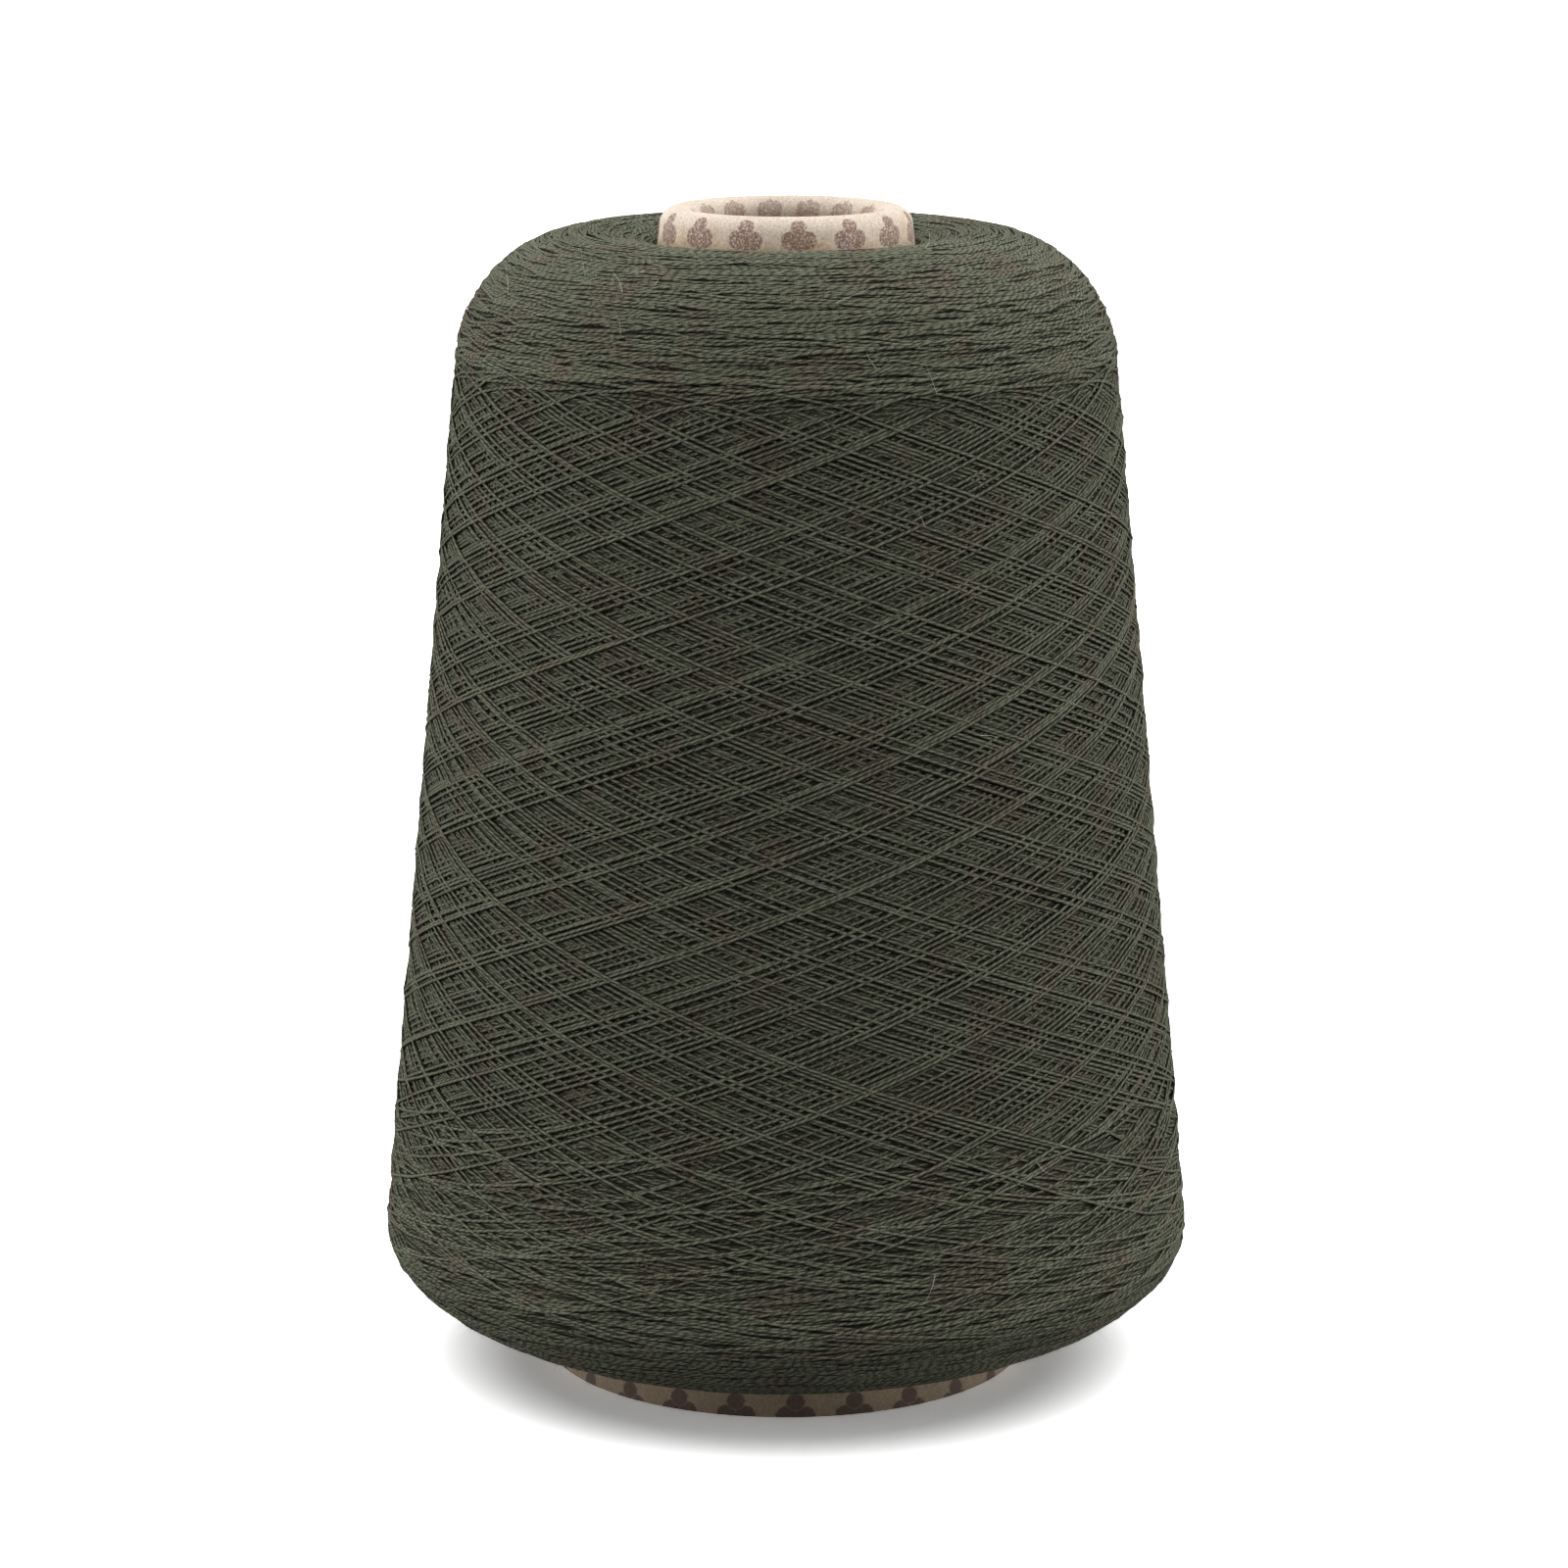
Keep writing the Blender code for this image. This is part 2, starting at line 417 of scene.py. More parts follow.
pile = np.zeros((PILE_ROWS, PILE_COLUMNS))
pile_along = np.linspace(0, OUTLINE_LENGTH, PILE_ROWS)
pile_radius = np.interp(pile_along, along_outline, outline[:, 0])
outline_curve = np.maximum(outward[:, 0], LEAST_CURVE) / outline[:, 0]
curve_round = np.interp(pile_along, along_outline, outline_curve)


def windows(heights):
    """The heights within a span of each place, in a row for each shift."""
    padded = np.pad(heights, SPAN_STEPS, mode="edge")
    return np.lib.stride_tricks.sliding_window_view(padded, len(heights))


def closed_by_parabola(ground, curvature):
    """The height of a taut strand over the ground heights under it.

    The ground is raised to the highest parabola that a place near it holds up, and then
    lowered to the lowest that all places near it leave room for.
    """
    shifts = np.arange(-SPAN_STEPS, SPAN_STEPS + 1)
    drop = curvature * (shifts[:, None] * LAY_STEP) ** 2 / 2
    raised = (windows(ground) - drop).max(0)
    return (windows(raised) + drop).min(0)


def lay(azimuth, along):
    """Lays one stroke on the pile and returns the heights of its middle line.

    The ground is read on both feet and under the middle. Level turns are pressed
    thinner than the crossing strands of the side.
    """
    row = np.clip(along / ROW_STEP, 0, PILE_ROWS - 1).astype(int)
    radius = pile_radius[row]
    way = np.stack([np.gradient(azimuth) * radius, np.gradient(along)])
    way /= np.linalg.norm(way, axis=0)
    offset = ACROSS[:, None] * STRAND_WIDTH
    rows = ((along + offset * way[0]) / ROW_STEP).round().astype(int)
    rows = np.clip(rows, 0, PILE_ROWS - 1)
    columns = (azimuth - offset * way[1] / radius) / (2 * pi) * PILE_COLUMNS
    columns = columns.round().astype(int) % PILE_COLUMNS
    ground = ACROSS_SHARE @ pile[rows, columns]
    curvature = SOFTNESS * curve_round[row] * way[0] ** 2
    rest = closed_by_parabola(ground, curvature)
    steep = np.minimum(np.abs(way[1]) / sin(SIDE_ANGLE), 1)
    pressed = LEVEL_PRESSED + (SIDE_PRESSED - LEVEL_PRESSED) * steep
    crown = pressed * np.sqrt(1 - (ACROSS[:, None] * CROWN_ROUNDNESS) ** 2)
    np.maximum.at(pile, (rows, columns), rest + crown)
    return rest + pressed / 2


def lay_all(azimuth, along):
    """Lays the strokes one after the other."""
    return np.stack([lay(a, s) for a, s in zip(azimuth, along)])


print("pile map:", pile.shape, "places")

# %% [markdown]
# ## Winding the package
#
# The winder works in a repeat. After a number of double strokes the strand comes back
# beside itself, so the youngest strands stand out as bands that cross in diamonds, and
# older ones lie side by side within the diamonds.
#
# Strokes that lie deeper turn at the edges of the side, where nobody sees them. The last
# ones run on over both shoulders, to turns that are scattered evenly. No strand lies
# quite true: each wanders a little, and the level turns ripple, which opens small gaps.

# %% Wind the package
BANDS = 19
STRAND_PITCH = 0.74 * MM
INNER_STROKES = 700
OUTER_STROKES = 134
BAND_SCATTER = radians(2.5)
STROKE_SCATTER = radians(0.7)
BEND_SCATTER = 5 * MM
BEND_TAILS = 4
BEND_LIMIT = 2.5
INNER_TURNS = (NOSE_BEND - 1 * MM, BASE_BEND + 3 * MM)
OUTER_TURNS = (0.5 * MM, OUTLINE_LENGTH - 0.3 * MM)
NOSE_TURN_SCATTER = (-4 * MM, 2 * MM)
BASE_TURN_SCATTER = (-2 * MM, 8 * MM)
NOSE_TURN_SPREAD = 22 * MM
BASE_TURN_SPREAD = -16 * MM
FIRST_PLACE = 0.2 * MM
WANDER = 0.1 * MM
WANDER_WAVES = (700 * MM, 210 * MM, 90 * MM)
RIPPLE = 0.16 * MM
BASE_RIPPLE = 0.5
RIPPLE_WAVES = (31 * MM, 17 * MM, 11 * MM)
GOLDEN = (5**0.5 - 1) / 2

inner_shape = crossing(*INNER_TURNS)
outer_shape = crossing(*OUTER_TURNS)
natural = 2 * (inner_shape[0][-1] - inner_shape[0][0]) / (2 * pi)
middle_radius = side_radius(CONE_HEIGHT / 2)
creep = STRAND_PITCH / (middle_radius * sin(SIDE_ANGLE)) / (2 * pi)
turns_per_cycle = (round(natural * BANDS) + creep) / BANDS
print("turns in a double stroke:", round(natural, 3), "->", round(turns_per_cycle, 4))

stroke_count = INNER_STROKES + OUTER_STROKES
number = np.arange(stroke_count)
band = number // 2 % BANDS
up = number % 2
middle = number // 2 * turns_per_cycle * 2 * pi + up * 2 * inner_shape[0][-1]
middle += rng.normal(0, BAND_SCATTER, (2, BANDS))[up, band]
middle += rng.normal(0, STROKE_SCATTER, stroke_count)


def wander(shape, wavelengths, size):
    """How far each stroke is off its path: a sum of sines, one for each wavelength, whose
    phases are random."""
    strokes, steps = shape
    place = np.arange(steps) * LAY_STEP * 2 * pi / np.array(wavelengths)[:, None, None]
    phase = rng.uniform(0, 2 * pi, (len(wavelengths), strokes, 1))
    return size * np.sin(place + phase).sum(0)


# a nose turn joins strokes 2k - 1 and 2k, a base turn joins strokes 2k and 2k + 1
nose_turn = (number + 1) // 2
base_turn = number // 2
nose_random = rng.uniform(*NOSE_TURN_SCATTER, stroke_count)[nose_turn]
base_random = rng.uniform(*BASE_TURN_SCATTER, stroke_count)[base_turn]
bend_random = rng.standard_t(BEND_TAILS, stroke_count) * BEND_SCATTER
bend_random = np.clip(bend_random, -BEND_LIMIT * BEND_SCATTER, BEND_LIMIT * BEND_SCATTER)
nose_even = NOSE_TURN_SPREAD * (nose_turn * GOLDEN % 1) ** 2
base_even = BASE_TURN_SPREAD * (base_turn * GOLDEN % 1) ** 2
inner, outer = slice(INNER_STROKES), slice(INNER_STROKES, stroke_count)
inner_azimuth, inner_along = winding(
    inner_shape, middle[inner], nose_random[inner], base_random[inner], bend_random[inner] / 2
)
outer_azimuth, outer_along = winding(
    outer_shape, middle[outer], nose_even[outer], base_even[outer], bend_random[outer]
)
inner_along = inner_along + wander(inner_along.shape, WANDER_WAVES, WANDER)
outer_along = outer_along + wander(outer_along.shape, WANDER_WAVES, WANDER)
ripple = wander(outer_along.shape, RIPPLE_WAVES, RIPPLE)
ripple *= np.where(outer_along < NOSE_BEND + NOSE_BEND_REACH, 1, BASE_RIPPLE)
outer_along = outer_along + ripple * (1 - steepness(outer_along))
outer_along = np.clip(outer_along, FIRST_PLACE, OUTLINE_LENGTH)
inner_heights = lay_all(inner_azimuth, inner_along)
outer_heights = lay_all(outer_azimuth, outer_along)
print("inner strokes", inner_azimuth.shape, "outer strokes", outer_azimuth.shape)
print("the pile is up to", round(pile.max() / MM, 2), "mm high")

# %% [markdown]
# The pile is thicker in some places than in others, but the outline is the real one,
# so each height is counted from the pile's smoothed height there. All strands then sink
# a little, because the outline is that of the crests.

# %% Level the pile
SIDE_REACH_ALONG = 2 * MM
END_REACH_ALONG = 0.7 * MM
LEVEL_REACH_ROUND = 8 * MM
SINK = 0.15 * MM


def bell_weights(distance, reach):
    """Averaging weights that fall off as a bell curve, each row adding up to one. The
    reach is a number, or one for each row."""
    weights = np.exp(-((distance / reach) ** 2) / 2)
    return weights / weights.sum(1)[:, None]


apart = pile_along[:, None] - pile_along
turn = np.arange(PILE_COLUMNS) / PILE_COLUMNS
turn_apart = (turn[:, None] - turn + 0.5) % 1 - 0.5
round_apart = turn_apart * 2 * pi * middle_radius
at_an_end = (pile_along < NOSE_BEND) | (pile_along > BASE_BEND - BASE_BEND_REACH / 2)
reach_along = np.where(at_an_end, END_REACH_ALONG, SIDE_REACH_ALONG)[:, None]
weights_along = bell_weights(apart, reach_along)
weights_round = bell_weights(round_apart, LEVEL_REACH_ROUND)
pile_level = weights_along @ pile @ weights_round.T


def levelled(azimuth, along, height):
    """Heights above the outline, in place of heights above the pile's ground."""
    row = np.clip((along / ROW_STEP).round().astype(int), 0, PILE_ROWS - 1)
    column = (azimuth / (2 * pi) * PILE_COLUMNS).round().astype(int) % PILE_COLUMNS
    return height - pile_level[row, column] - SINK


print("pile level in mm:", (pile_level[:: PILE_ROWS // 12].mean(1) / MM).round(2))
print("roughness in mm:", round(float((pile - pile_level)[~at_an_end].std() / MM), 3))

# %% [markdown]
# ## From a path to a strand
#
# A strand is a three-sided tube with smooth shading: a crest and two feet, so that only
# one face in three lies hidden on the yarn below. It is pressed flat, because a tube as
# high as wide would show its crest between the strands that cover it. Its UV map runs in
# metres along the strand and once round it, so that a material can twist it, and its two
# upper faces are the half of the round that shows.

# %% Sweep tubes
TUBE_SIDES = 3
ROUND_AT = np.array([0, 0.25, 0.75, 1])
FLATNESS = 0.36
BAKE_MAP = "OFBake"


def mesh_object(name, vertices, faces, uvs, values, material):
    """An object from arrays: vertices, groups of faces with as many corners each, a UV
    pair for each corner in each of the maps, and a number for each vertex in each of the
    named values."""
    corners = np.concatenate([group.ravel() for group in faces])
    sides = np.concatenate([np.full(len(group), group.shape[1]) for group in faces])
    mesh = bpy.data.meshes.new(name)
    mesh.vertices.add(len(vertices))
    mesh.vertices.foreach_set("co", vertices.astype(np.float32).ravel())
    mesh.loops.add(len(corners))
    mesh.loops.foreach_set("vertex_index", corners.astype(np.int32))
    mesh.polygons.add(len(sides))
    mesh.polygons.foreach_set("loop_start", (np.cumsum(sides) - sides).astype(np.int32))
    mesh.update(calc_edges=True)
    for map_name, uv in uvs.items():
        layer = mesh.uv_layers.new(name=map_name)
        layer.uv.foreach_set("vector", uv.astype(np.float32).ravel())
    for value_name, numbers in values.items():
        layer = mesh.attributes.new(value_name, "FLOAT", "POINT")
        layer.data.foreach_set("value", np.broadcast_to(numbers, len(vertices)).astype(np.float32))
    mesh.shade_smooth()
    mesh.materials.append(material)
    piece = bpy.data.objects.new(name, mesh)
    bpy.context.collection.objects.link(piece)
    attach(piece, "root")
    print(name, (sides - 2).sum(), "triangles")
    return piece


def tube_walls(tubes, rings, sides):
    """The numbers of the tubes' vertices, and the faces between one ring and the next."""
    index = np.arange(tubes * rings * sides).reshape(tubes, rings, sides)
    ahead = np.roll(index, -1, axis=2)
    return index, np.stack([index[:, :-1], ahead[:, :-1], ahead[:, 1:], index[:, 1:]], -1)


def with_lids(uv):
    """A UV map of the walls, and after it the lids', each at one corner of its wall."""
    strokes = len(uv)
    first, last = uv[:, :1, :1, :1], uv[:, -1:, :1, 2:3]
    ends = np.concatenate([first, last], 1).reshape(strokes, 2, 1, 2)
    ends = np.broadcast_to(ends, (strokes, 2, TUBE_SIDES, 2))
    return np.concatenate([uv.reshape(-1, 2), ends.reshape(-1, 2)])


def tube_maps(length, shape):
    """The strand map, from the length at each ring, and the bake map: a strip a stroke."""
    strokes, count = length.shape
    ring_number = np.arange(count - 1)[:, None] + np.array([0, 0, 1, 1])
    u = np.broadcast_to(length[:, ring_number][:, :, None], shape)
    v = ROUND_AT[np.arange(TUBE_SIDES)[:, None] + np.array([0, 1, 1, 0])]
    v = np.broadcast_to(v, shape)
    strip = np.broadcast_to((ring_number / (count - 1))[None, :, None], shape)
    row = (np.arange(strokes)[:, None, None, None] + 0.1 + 0.8 * v) / strokes
    maps = {"strand": np.stack([u, v], -1), BAKE_MAP: np.stack([strip, row], -1)}
    return {map_name: with_lids(uv) for map_name, uv in maps.items()}


def strands(name, azimuth, along, height, material, step):
    """Tubes along the strokes of a winding, in one mesh, with a ring at each step.

    The section is a triangle: its crest points out of the package, and its feet lie on
    both sides, as far apart as the strand is wide. Stored for the material are a random
    tone for each strand, the depth in mm, and level: 1 where it runs level, 0 on the side.
    """
    keep = max(int(round(step / LAY_STEP)), 1)
    count = max(azimuth.shape[1] // keep, 2)
    rings = np.linspace(0, azimuth.shape[1] - 1, count).round().astype(int)
    azimuth, along, height = azimuth[:, rings], along[:, rings], height[:, rings]
    centre, up = on_package(azimuth, along, height)
    way = unit(np.gradient(centre, axis=1))
    side = unit(np.cross(way, up))
    steep = np.abs(np.gradient(along, axis=1)) / (sin(SIDE_ANGLE) * step)
    steep = np.minimum(steep, 1)
    half = (LEVEL_WIDTH + (STRAND_WIDTH - LEVEL_WIDTH) * steep) / 2
    corner = np.arange(TUBE_SIDES) * 2 * pi / TUBE_SIDES
    feet = np.sin(corner) / np.sin(corner[1])
    across = half[..., None, None] * feet[:, None] * side[:, :, None]
    upward = FLATNESS * half[..., None, None] * np.cos(corner)[:, None] * up[:, :, None]
    ring = centre[:, :, None] + across + upward
    strokes = len(ring)
    index, walls = tube_walls(strokes, count, TUBE_SIDES)
    lids = np.stack([index[:, 0, ::-1], index[:, -1]], 1)
    steps = np.linalg.norm(np.diff(centre, axis=1), axis=2)
    length = np.concatenate([np.zeros((strokes, 1)), np.cumsum(steps, axis=1)], 1)
    length += rng.random((strokes, 1))
    values = {
        "tone": np.repeat(rng.normal(0, 1, strokes), count * TUBE_SIDES),
        "depth": np.repeat(-height.ravel(), TUBE_SIDES) / MM,
        "level": np.repeat(1 - steep.ravel(), TUBE_SIDES),
    }
    faces = [walls.reshape(-1, 4), lids.reshape(-1, TUBE_SIDES)]
    maps = tube_maps(length, walls.shape)
    return mesh_object(name, ring.reshape(-1, 3), faces, maps, values, material)


# %% [markdown]
# ## The yarn's finish
#
# The yarn is two strands twisted together. Its colour has painted light on the round of each one
# and painted shade in the groove that winds between them, so every strand shows short slanting
# dashes. Its dye is olive, with browner places. The flanks of each strand get painted shade, and
# strands that lie deeper get more of it. Level turns get more painted light on their round and
# feet, and deeper painted shade in their grooves.
#
# Hairs and plies are far too many to model, so noise and waves on the strand's own map
# draw them, in the colour and as a small relief.

# %% Helpers for materials
def clamped(tree, value, low=0.0, high=1.0):
    """A value kept between two limits."""
    return maths(tree, "MINIMUM", maths(tree, "MAXIMUM", value, low), high)


def from_to(tree, value, start, end, way="SMOOTHSTEP"):
    """0 where a value is at the start, 1 where it is at the end, by a smooth step."""
    node = add_node(tree, "ShaderNodeMapRange", interpolation_type=way)
    node.inputs["From Min"].default_value = start
    node.inputs["From Max"].default_value = end
    tree.links.new(value, node.inputs["Value"])
    return node.outputs[0]


def attribute(tree, name):
    """A number that the mesh stores for its vertices."""
    return add_node(tree, "ShaderNodeAttribute", attribute_name=name).outputs["Fac"]


def map_place(tree, name):
    """The two coordinates of a UV map."""
    uv = axes(tree, add_node(tree, "ShaderNodeUVMap", uv_map=name).outputs[0])
    return uv["X"], uv["Y"]


def add_bump(tree, shader, height, strength, distance):
    """Relief on a shader, of the given distance where the height is 1."""
    bump = add_node(tree, "ShaderNodeBump")
    bump.inputs["Strength"].default_value = strength
    bump.inputs["Distance"].default_value = distance
    tree.links.new(height, bump.inputs["Height"])
    tree.links.new(bump.outputs["Normal"], shader.inputs["Normal"])


def new_group(name, inputs, output):
    """An empty node group with one output. A default value tells its socket's kind."""
    group = bpy.data.node_groups.new(name, "ShaderNodeTree")
    kinds = {1: "NodeSocketFloat", 3: "NodeSocketVector", 4: "NodeSocketColor"}
    for way, sockets in (("INPUT", inputs), ("OUTPUT", output)):
        for socket, value in sockets.items():
            kind = kinds[np.size(value)]
            made = group.interface.new_socket(socket, in_out=way, socket_type=kind)
            made.default_value = value
    return group, group.nodes.new("NodeGroupInput"), group.nodes.new("NodeGroupOutput")


def use_group(tree, group, **inputs):
    """A node with a group in it, and what goes into its inputs. Returns its output."""
    node = add_node(tree, "ShaderNodeGroup", node_tree=group)
    for name, value in inputs.items():
        feed(tree, node.inputs[name], value)
    return node.outputs[0]


def noise(tree, vector, size, detail=2.0):
    """A Noise Texture with waves of the given size in metres. Returns its value."""
    node = add_node(tree, "ShaderNodeTexNoise")
    node.inputs["Scale"].default_value = 1 / size
    node.inputs["Detail"].default_value = detail
    tree.links.new(vector, node.inputs["Vector"])
    return node.outputs["Fac"]


def mix_colour(tree, factor, first, second, blend="MIX"):
    """A colour Mix node on outputs or colours. Returns its result."""
    node = add_node(tree, "ShaderNodeMix", data_type="RGBA", blend_type=blend)
    for name, value in (("A", first), ("B", second), ("Factor", factor)):
        feed(tree, node.inputs[name], value)
    return node.outputs["Result"]


# %% The twist and the dye
PLY_LEAD = 3.0 * MM
YARN_LIGHT = (0.152, 0.163, 0.113, 1)
YARN_BROWN = (0.157, 0.139, 0.103, 1)
BROWN_SIZE = 8 * MM
BROWN_FROM_TO = (0.46, 0.68)
TONE_TO_BROWN = 0.04


def ply_group():
    """Two twisted plies: how round the yarn is at a place, 0 in the groove between them.

    The height is the absolute sine of (round + along / lead + uneven) full turns. It is
    zero twice in a turn, so two grooves wind round the yarn, once in each lead.
    """
    inputs = {"Along": 0.0, "Round": 0.0, "Lead": PLY_LEAD, "Uneven": 0.0}
    tree, start, end = new_group("two_ply_twist", inputs, {"Ply": 0.0})
    turns = maths(tree, "DIVIDE", start.outputs["Along"], start.outputs["Lead"])
    place = maths(tree, "ADD", start.outputs["Round"], turns)
    place = maths(tree, "ADD", place, start.outputs["Uneven"])
    wave = maths(tree, "SINE", maths(tree, "MULTIPLY", place, 2 * pi))
    tree.links.new(maths(tree, "ABSOLUTE", wave), end.inputs["Ply"])
    return tree


def dye_group():
    """The dye's unevenness: a colour that goes from the first to the second in patches."""
    inputs = {"Vector": (0, 0, 0), "Main": YARN_LIGHT, "Patches": YARN_BROWN, "Tone": 0.0}
    tree, start, end = new_group("uneven_dye", inputs, {"Colour": YARN_LIGHT})
    patch = noise(tree, start.outputs["Vector"], BROWN_SIZE)
    patch = line(tree, start.outputs["Tone"], TONE_TO_BROWN, patch)
    patch = from_to(tree, patch, *BROWN_FROM_TO)
    colour = mix_colour(tree, patch, start.outputs["Main"], start.outputs["Patches"])
    tree.links.new(colour, end.inputs["Colour"])
    return tree


# %% Make the yarn material
# the colour where the painted light is zero: painted shade
YARN_PAINTED_SHADE = (0.0068, 0.0074, 0.0032, 1)
PLY_UNEVEN = 5 * MM
PLY_UNEVEN_TURNS = 1.2
# painted light on the round of a strand, painted shade on its flanks and feet and in the ply
# groove
CROWN_GAIN = 1.2
CROWN_DROP = 0.2
LEVEL_CROWN = 0.3
LEVEL_FOOT = 0.3
PLY_GROOVE_SHADE = 0.45
LEVEL_GROOVE = 0.3
FIBRE_SIZE = 0.16 * MM
FIBRE_LINE = (1.8, 0.1)
FIBRE_RELIEF = 0.4
CONTRAST = 1.5
# painted shade on deeper strands, and painted extra light on level turns
DEPTH_SHADE_LINE = (-0.8, 0.92)
DEEPEST_LIGHT = 0.5
LEVEL_LIGHT = 0.1
TONE_LIGHT = 0.06


def yarn_material():
    """The dyed two-ply yarn, with light and shade painted into its colour: from the painted shade
    colour to the dye, by how much painted light a place gets.

    The painted light is the crown's, less the painted shade of the ply groove, times the fibres',
    to the power of the contrast, and times what the painted shade of depth, the painted extra
    light of level turns and the tone leave of it.
    """
    material, tree, shader = new_material("dark_yarn")
    place = add_node(tree, "ShaderNodeTexCoord").outputs["Object"]
    tone, depth, level = (attribute(tree, name) for name in ("tone", "depth", "level"))
    strand_along, strand_round = map_place(tree, "strand")
    uneven = maths(tree, "MULTIPLY", noise(tree, place, PLY_UNEVEN), PLY_UNEVEN_TURNS)
    twist = {"Along": strand_along, "Round": strand_round, "Lead": PLY_LEAD}
    ply = use_group(tree, ply_group(), **twist, Uneven=uneven)
    # painted light on the round of the strand and painted shade on its flanks; level turns get
    # more light and lighter feet
    crown = maths(tree, "COSINE", maths(tree, "MULTIPLY", strand_round, 2 * pi))
    crown = line(tree, crown, CROWN_GAIN, line(tree, level, LEVEL_CROWN, -CROWN_DROP))
    crown = clamped(tree, crown, maths(tree, "MULTIPLY", level, LEVEL_FOOT))
    # painted shade in the groove between the plies, deeper on level turns
    groove = maths(tree, "SUBTRACT", ply, 1.0)
    light = line(tree, groove, line(tree, level, LEVEL_GROOVE, PLY_GROOVE_SHADE), 1.0)
    light = maths(tree, "MULTIPLY", light, crown)
    fibres = line(tree, noise(tree, place, FIBRE_SIZE, 1.0), *FIBRE_LINE)
    light = maths(tree, "MULTIPLY", light, maths(tree, "MAXIMUM", fibres, 0.0))
    light = maths(tree, "POWER", light, CONTRAST)
    # painted shade on strands that lie deeper
    depth_shade = clamped(tree, line(tree, depth, *DEPTH_SHADE_LINE), DEEPEST_LIGHT)
    level_extra_light = line(tree, level, LEVEL_LIGHT, 1.0)
    for share in (depth_shade, level_extra_light, line(tree, tone, TONE_LIGHT, 1.0)):
        light = maths(tree, "MULTIPLY", light, share)
    colours = {"Main": YARN_LIGHT, "Patches": YARN_BROWN}
    dye = use_group(tree, dye_group(), **colours, Vector=place, Tone=tone)
    # from the painted shade colour to the dye, by the painted light
    colour = mix_colour(tree, light, YARN_PAINTED_SHADE, dye)
    tree.links.new(colour, shader.inputs["Base Color"])
    relief = line(tree, fibres, FIBRE_RELIEF, ply)
    add_bump(tree, shader, relief, 0.6, 0.12 * MM)
    shader.inputs["Roughness"].default_value = 0.9
    shader.inputs["Specular IOR Level"].default_value = 0.1
    return material


yarn = yarn_material()
print("yarn material:", len(yarn.node_tree.nodes), "nodes")

# %% [markdown]
# The strokes are parted into pieces of less than 200,000 triangles. The inner ones are
# mostly hidden, so their rings are further apart.

# %% Make the strands
INNER_RING_STEP = 5.4 * MM
OUTER_RING_STEP = 2.8 * MM
INNER_PIECES = 3
OUTER_PIECES = 2
yarn_pieces = []
for name, azimuth, along, height, step, pieces in (
    ("inner_strokes", inner_azimuth, inner_along, inner_heights, INNER_RING_STEP, INNER_PIECES),
    ("outer_strokes", outer_azimuth, outer_along, outer_heights, OUTER_RING_STEP, OUTER_PIECES),
):
    height = levelled(azimuth, along, height)
    cuts = [piece * len(azimuth) // pieces for piece in range(pieces + 1)]
    for piece, (start, end) in enumerate(zip(cuts, cuts[1:])):
        paths = azimuth[start:end], along[start:end], height[start:end]
        yarn_pieces.append(strands(f"{name}_{piece + 1}", *paths, yarn, step))

# %% [markdown]
# ## What lies below
#
# Under the modelled turns the rest of the yarn is one turned body, with rings of yarn
# painted on it and the bore through it. It closes the gaps between strands and is
# hardly seen, so it needs no strands of its own.

# %% Make the inner body
CORE_COLUMNS = 120
CORE_STEP = 3 * MM
CORE_DEPTH = 0.42 * MM
BORE_ROWS = 40
SEAM = radians(-100)


def turned(name, section, columns, maps, values, material):
    """A closed section of radius and height, turned about the axis into a ring.

    `maps` gives the UV maps as functions of the azimuth and the distance along the
    section, at the faces' corners. `values` has a number for each row. The ring starts
    and ends at SEAM, where the azimuth jumps.
    """
    turn = SEAM + np.arange(columns) * 2 * pi / columns
    radius, height = section.T
    vertices = np.stack(
        [
            radius[:, None] * np.sin(turn),
            -radius[:, None] * np.cos(turn),
            np.broadcast_to(height[:, None], (len(section), columns)),
        ],
        -1,
    )
    index = np.arange(len(section) * columns).reshape(len(section), columns)
    right, below = np.roll(index, -1, axis=1), np.roll(index, -1, axis=0)
    faces = np.stack([index, below, np.roll(below, -1, axis=1), right], -1).reshape(-1, 4)
    length = length_at(np.append(section, section[:1], axis=0))
    rows, cols = np.meshgrid(np.arange(len(section)), np.arange(columns), indexing="ij")
    azimuth = SEAM + (cols.reshape(-1, 1) + np.array([0, 0, 1, 1])) * 2 * pi / columns
    along = length[rows.reshape(-1, 1) + np.array([0, 1, 1, 0])]
    uvs = {key: np.stack(function(azimuth, along), -1) for key, function in maps.items()}
    uvs[BAKE_MAP] = np.stack([(azimuth - SEAM) / (2 * pi), along / length[-1]], -1)
    values = {key: np.repeat(numbers, columns) for key, numbers in values.items()}
    return mesh_object(name, vertices.reshape(-1, 3), [faces], uvs, values, material)


def painted_strands(azimuth, along):
    """The strand map of the inner body: rings of yarn side by side."""
    return azimuth * middle_radius, along / STRAND_WIDTH


